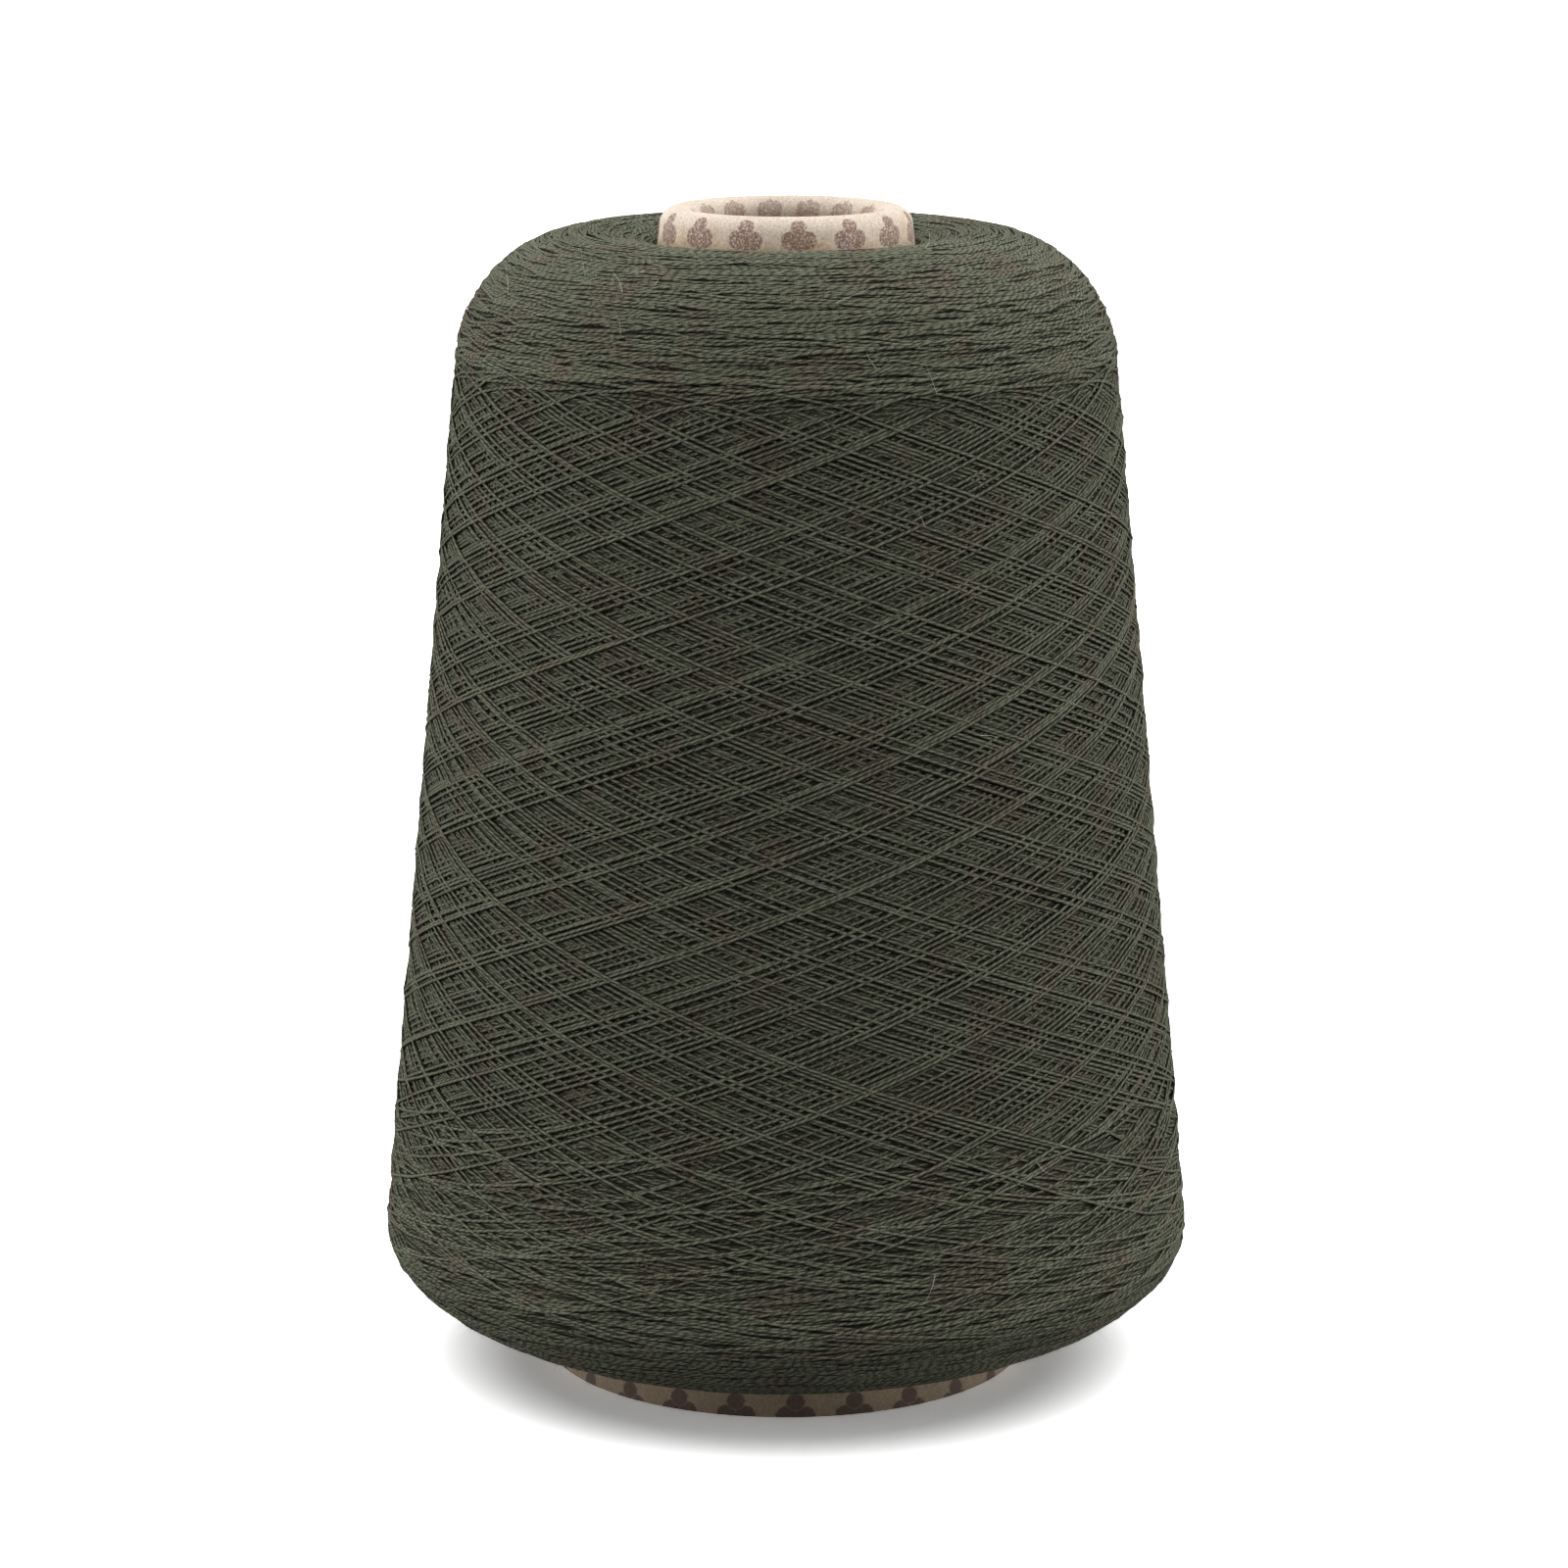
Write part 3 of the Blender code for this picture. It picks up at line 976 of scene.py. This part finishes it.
core_along = np.linspace(0, OUTLINE_LENGTH, int(OUTLINE_LENGTH / CORE_STEP))
core_depth = np.minimum(np.interp(core_along, pile_along, pile_level.mean(1)), CORE_DEPTH)
core_points, _ = on_package(0 * core_along, core_along, -core_depth)
core_outer = np.stack([-core_points[:, 1], core_points[:, 2]], 1)
core_outer[:, 0] = np.maximum(core_outer[:, 0], bore_radius(core_outer[:, 1]))
bore_z = np.linspace(core_outer[-1, 1], core_outer[0, 1], BORE_ROWS)
core_bore = np.stack([bore_radius(bore_z), bore_z], 1)[1:-1]
core_section = np.concatenate([core_outer, core_bore])
core = turned(
    "inner_yarn",
    core_section,
    CORE_COLUMNS,
    {"strand": painted_strands},
    # depth 0 and level 1 give the inner body the painted shade of a level strand at the surface,
    # though it lies deeper
    {"depth": np.zeros(len(core_section)), "level": np.ones(len(core_section))},
    yarn,
)
yarn_pieces.append(core)

for piece in yarn_pieces:
    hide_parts("yarn_package")

# %% [markdown]
# ## The paper cone
#
# The cone is stiff paper, rolled inwards at the nose. Its printed side faces out, so the
# print runs over the roll and down the inside of the lip. The print is a small leaf of
# three lobes in staggered rows. It is laid out in repeats of 8 mm, and the rows are
# counted from the nose. The seam lies on the left, where neither end shows it well.
#
# A UV map counts the repeats, and the material draws the leaf in each, so the print
# stays sharp at any distance and needs no picture.

# %% Shape the paper
CONE_WALL = 1.65 * MM
ROLL_RADIUS = 2.6 * MM
LIP_LENGTH = 6 * MM
WALL_STEPS = 8
ROLL_STEPS = 24
LIP_STEPS = 3


def paper_face(inset):
    """One face of the paper, from the base up the wall, over the roll and down the lip."""
    centre_z = CONE_HEIGHT - ROLL_RADIUS
    centre_r = cone_radius(centre_z) - ROLL_RADIUS / cos(CONE_HALF_ANGLE)
    turns = np.linspace(CONE_HALF_ANGLE, pi, ROLL_STEPS + 1)
    radius = ROLL_RADIUS - inset
    roll = np.stack([centre_r + radius * np.cos(turns), centre_z + radius * np.sin(turns)], 1)
    base = np.array([[CONE_BASE_RADIUS - inset / cos(CONE_HALF_ANGLE), 0]])
    wall = base + (roll[:1] - base) * np.linspace(0, 1, WALL_STEPS + 1)[:-1, None]
    down = np.array([[0, 1]]) * np.linspace(0, 1, LIP_STEPS + 1)[1:, None]
    lip = roll[-1:] - down * (LIP_LENGTH - ROLL_RADIUS)
    return np.concatenate([wall, roll, lip])


outside, inside = paper_face(0), paper_face(CONE_WALL)
paper_section = np.concatenate([outside, inside[::-1]])[::-1]
outside_length = length_at(outside)
crest_at = outside_length[np.argmax(outside[:, 1])]
inside_length = length_at(inside)[-1] + CONE_WALL
printed = (np.arange(len(paper_section)) >= len(inside)).astype(float)
print("paper:", len(paper_section), "rows,", round(outside_length[-1] / MM, 1), "mm outside")

# %% Lay out the print
ROW_PITCH = 7.976 * MM
FIRST_ROW = 4.0 * MM
NOSE_COLUMNS = 14.69
BASE_COLUMNS = 25.7
FIRST_SHIFT = 0.237
ROW_SHIFT = 0.52
ROLL_SHIFT = 0.07
BASE_DROP = 4 * MM
REPEAT = 8.0
LOBES = ((0.0, 1.2, 1.25), (-1.25, -0.75, 1.35), (1.25, -0.75, 1.35), (0.0, -2.0, 0.6))
LEAF_EDGE = (0.12, -0.08)
RIM_WIDTH = 0.14
RIM_FADE = 0.45


def print_repeats(azimuth, along):
    """The print's map: columns round the cone, and rows down from the crest of the roll.

    Along the section the outside comes second, from the lip's end to the base.
    """
    down = along - inside_length - (outside_length[-1] - crest_at)
    share = np.clip(down / crest_at, 0, 1)
    columns = NOSE_COLUMNS + (BASE_COLUMNS - NOSE_COLUMNS) * share
    shift = ROLL_SHIFT * np.clip(-down / FIRST_ROW, 0, 1)
    drop = BASE_DROP * (1 - np.cos(azimuth)) * share
    return azimuth * columns / (2 * pi) - shift, (down - FIRST_ROW - drop) / ROW_PITCH


def leaf_group():
    """A printed leaf of three round lobes and a stalk. Across and Up place it, in mm.

    Each is a circle: its distance is that to the middle, less the radius, and the leaf
    is where the least of them is below zero. Uneven adds to that. A paler rim round the
    first lobe parts it from the others.
    """
    inputs = {"Across": 0.0, "Up": 0.0, "Uneven": 0.0}
    tree, start, end = new_group("leaf_print", inputs, {"Mask": 0.0})
    place = add_node(tree, "ShaderNodeCombineXYZ")
    tree.links.new(start.outputs["Across"], place.inputs["X"])
    tree.links.new(start.outputs["Up"], place.inputs["Y"])
    distances = []
    for across, up, radius in LOBES:
        reach = add_node(tree, "ShaderNodeVectorMath", operation="DISTANCE")
        tree.links.new(place.outputs[0], reach.inputs[0])
        reach.inputs[1].default_value = (across, up, 0)
        distances.append(maths(tree, "SUBTRACT", reach.outputs["Value"], radius))
    least = distances[0]
    for distance in distances[1:]:
        least = maths(tree, "MINIMUM", least, distance)
    least = maths(tree, "ADD", least, start.outputs["Uneven"])
    edge = from_to(tree, least, *LEAF_EDGE)
    rim = maths(tree, "ABSOLUTE", distances[0])
    rim = maths(tree, "MAXIMUM", line(tree, rim, -1 / RIM_WIDTH, 1.0), 0.0)
    rim = line(tree, rim, -RIM_FADE, 1.0)
    tree.links.new(maths(tree, "MULTIPLY", edge, rim), end.inputs["Mask"])
    return tree


# %% Make the paper cone
PAPER_COLUMNS = 240
PAPER = (0.49, 0.415, 0.34, 1)
# painted shade colour of the paper near the base
PAINTED_SHADE_PAPER = (0.29, 0.22, 0.15, 1)
# tan of the paper together with painted shade, below the roll's crest
TAN_AND_SHADED_PAPER = (0.45, 0.32, 0.20, 1)
PRINT = (0.18, 0.105, 0.083, 1)
# painted shade colour of the print near the base
PAINTED_SHADE_PRINT = (0.075, 0.045, 0.036, 1)
INSIDE = (0.42, 0.36, 0.29, 1)
# the painted shade fades out up to this height
PAINTED_SHADE_BELOW = 40 * MM
TAN_FROM_TO = (169 * MM, 163 * MM)
# noise on the edge of the tan and painted shade below the roll
TAN_EDGE_SIZE = 3 * MM
TAN_EDGE_LINE = (12 * MM, -6 * MM)
UNEVEN_SIZE = 0.5 * MM
UNEVEN_LINE = (0.5, -0.25)
SPECK_SIZE = 0.28 * MM
SPECK_LINE = (-5.0, 0.85)
INNER_PRINT = 0.7
GRAIN_SIZE = 0.35 * MM
GRAIN_LINE = (1.2, 0.4)
CLOUD_SIZE = 6 * MM
CLOUD_LINE = (0.3, 0.85)
RELIEF_SIZE = 0.4 * MM


def print_mask(tree, place, unshaded, printed_side):
    """How much ink a place has: that of the leaf in the nearest row and column.

    Rows are shifted against each other. White specks break the ink high on the cone, where it has
    no painted shade, and the row past the crest, which runs inwards, is fainter.
    """
    column, down = map_place(tree, "print")
    row = maths(tree, "ROUND", down)
    up = maths(tree, "MULTIPLY", maths(tree, "SUBTRACT", row, down), REPEAT)
    column = line(tree, row, -ROW_SHIFT, maths(tree, "SUBTRACT", column, FIRST_SHIFT))
    across = maths(tree, "SUBTRACT", column, maths(tree, "ROUND", column))
    across = maths(tree, "MULTIPLY", across, REPEAT)
    uneven = line(tree, noise(tree, place, UNEVEN_SIZE), *UNEVEN_LINE)
    mask = use_group(tree, leaf_group(), Across=across, Up=up, Uneven=uneven)
    speck = maths(tree, "SUBTRACT", noise(tree, place, SPECK_SIZE, 3.0), 0.5)
    speck = clamped(tree, line(tree, maths(tree, "MULTIPLY", speck, unshaded), *SPECK_LINE))
    below_crest = maths(tree, "GREATER_THAN", row, -0.5)
    fainter = line(tree, below_crest, 1 - INNER_PRINT, INNER_PRINT)
    for share in (speck, printed_side, fainter):
        mask = maths(tree, "MULTIPLY", mask, share)
    return mask


def paper_material():
    """Printed cone paper: cream at the nose, turning tan with painted shade towards the yarn, and
    browner and darker near the base, where painted shade is mixed into the paper and the print.
    """
    material, tree, shader = new_material("cone_paper_printed")
    place = add_node(tree, "ShaderNodeTexCoord").outputs["Object"]
    height = axes(tree, place)["Z"]
    # 0 at the base and 1 higher up: the share of the paper without painted shade
    unshaded = from_to(tree, height, 0.0, PAINTED_SHADE_BELOW, "LINEAR")
    printed_side = attribute(tree, "printed")
    # below the roll's crest the paper turns tan: partly the paper's own tan, partly painted shade
    tan_edge = line(tree, noise(tree, place, TAN_EDGE_SIZE, 4.0), *TAN_EDGE_LINE)
    tan_and_shade = from_to(tree, maths(tree, "ADD", height, tan_edge), *TAN_FROM_TO)
    sheet = mix_colour(tree, tan_and_shade, PAPER, TAN_AND_SHADED_PAPER)
    # painted shade on the paper near the base
    sheet = mix_colour(tree, unshaded, PAINTED_SHADE_PAPER, sheet)
    sheet = mix_colour(tree, printed_side, INSIDE, sheet)
    # painted shade on the print near the base
    ink = mix_colour(tree, unshaded, PAINTED_SHADE_PRINT, PRINT)
    colour = mix_colour(tree, print_mask(tree, place, unshaded, printed_side), sheet, ink)
    grain = line(tree, noise(tree, place, GRAIN_SIZE, 4.0), *GRAIN_LINE)
    cloud = line(tree, noise(tree, place, CLOUD_SIZE), *CLOUD_LINE)
    grain = maths(tree, "MULTIPLY", grain, cloud)
    shade = add_node(tree, "ShaderNodeCombineColor")
    for channel in shade.inputs:
        tree.links.new(grain, channel)
    colour = mix_colour(tree, 1.0, colour, shade.outputs[0], "MULTIPLY")
    tree.links.new(colour, shader.inputs["Base Color"])
    add_bump(tree, shader, noise(tree, place, RELIEF_SIZE, 3.0), 0.5, 0.05 * MM)
    shader.inputs["Roughness"].default_value = 0.75
    return material


paper = turned(
    "paper",
    paper_section,
    PAPER_COLUMNS,
    {"print": print_repeats},
    {"printed": printed},
    paper_material(),
)
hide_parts("paper_cone")

# %% [markdown]
# ## Fuzz
#
# Loose fibres stand off the yarn and soften its outline. Each is a thin tapered hair
# that starts on an outer strand, runs mostly with it and bends away. A few are long
# strays of a paler fibre.

# %% Make the fuzz
FIBRES = 4200
FIBRE_RADIUS = 0.022 * MM
FIBRE_LENGTH = (0.8 * MM, 3.0 * MM)
STRAY_SHARE = 0.012
STRAY_LENGTH = 5 * MM
STRAY_THICKNESS = 1.5
HAIR_RINGS = 4
HAIR_SIDES = 3
HAIR_TAPER = 0.85
ROOT_HEIGHT = 0.2 * MM
LEAN = (0.8, 0.6, 0.35)
CURL = 0.35
CURL_UP = 0.1
OFF_AXIS = 0.3
FLOOR_GAP = 0.2 * MM
FIBRE_COLOUR = (0.10, 0.108, 0.075, 1)
STRAY_COLOUR = (0.45, 0.45, 0.38, 1)


def fibres(count):
    """Hairs on the outer strands, as vertices, faces, UV maps and values.

    A hair runs from its root as length * (t * first way + t ** 2 * curl). The first way
    leans at random along the strand, across it and out of the yarn.
    """
    stroke = rng.integers(0, len(outer_azimuth), count)
    step = rng.integers(2, outer_azimuth.shape[1] - 2, count)
    azimuth, along = outer_azimuth[stroke, step], outer_along[stroke, step]
    height = levelled(azimuth, along, outer_heights[stroke, step]) + ROOT_HEIGHT
    root, up = on_package(azimuth, along, height)
    ahead = outer_azimuth[stroke, step + 1], outer_along[stroke, step + 1]
    way = unit(on_package(*ahead, height)[0] - root)
    side = np.cross(way, up)
    lean = rng.normal(0, np.array(LEAN)[:, None], (3, count))
    forward, aside, out = lean[:, :, None]
    first = unit(forward * way + aside * side + np.abs(out) * up)
    stray = rng.random(count) < STRAY_SHARE
    length = rng.uniform(*FIBRE_LENGTH, count) ** 2 / FIBRE_LENGTH[1]
    length = np.where(stray, STRAY_LENGTH, np.maximum(length, FIBRE_LENGTH[0]))
    curl = rng.normal(0, CURL, (count, 3)) + CURL_UP * up
    t = np.linspace(0, 1, HAIR_RINGS)[:, None]
    centre = root[:, None] + length[:, None, None] * (t * first[:, None] + t**2 * curl[:, None])
    centre[..., 2] = np.maximum(centre[..., 2], FLOOR_GAP)
    across = unit(np.cross(first, up + OFF_AXIS * way))
    other = np.cross(first, across)
    corner = np.arange(HAIR_SIDES)[:, None] * 2 * pi / HAIR_SIDES
    circle = np.sin(corner) * across[:, None] + np.cos(corner) * other[:, None]
    thicker = np.where(stray, STRAY_THICKNESS, 1)[:, None, None, None]
    radius = FIBRE_RADIUS * (1 - HAIR_TAPER * t[:, None]) * thicker
    ring = centre[:, :, None] + radius * circle[:, None]
    faces = tube_walls(count, HAIR_RINGS, HAIR_SIDES)[1]
    u = (np.arange(count)[:, None, None, None] + 0.1 + 0 * faces) / count
    v = (np.arange(HAIR_RINGS - 1)[:, None, None] + np.array([0, 0, 1, 1])) / HAIR_RINGS + 0 * u
    pale = np.repeat(stray.astype(float), HAIR_RINGS * HAIR_SIDES)
    maps = {BAKE_MAP: np.stack([u, v], -1)}
    return ring.reshape(-1, 3), [faces.reshape(-1, 4)], maps, {"pale": pale}


def fibre_material():
    """Single fibres: the yarn's colour, and nearly white for the strays."""
    material, tree, shader = new_material("yarn_fibre")
    colour = mix_colour(tree, attribute(tree, "pale"), FIBRE_COLOUR, STRAY_COLOUR)
    tree.links.new(colour, shader.inputs["Base Color"])
    shader.inputs["Roughness"].default_value = 0.8
    return material


fuzz = mesh_object("fuzz", *fibres(FIBRES), fibre_material())
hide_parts("yarn_package")
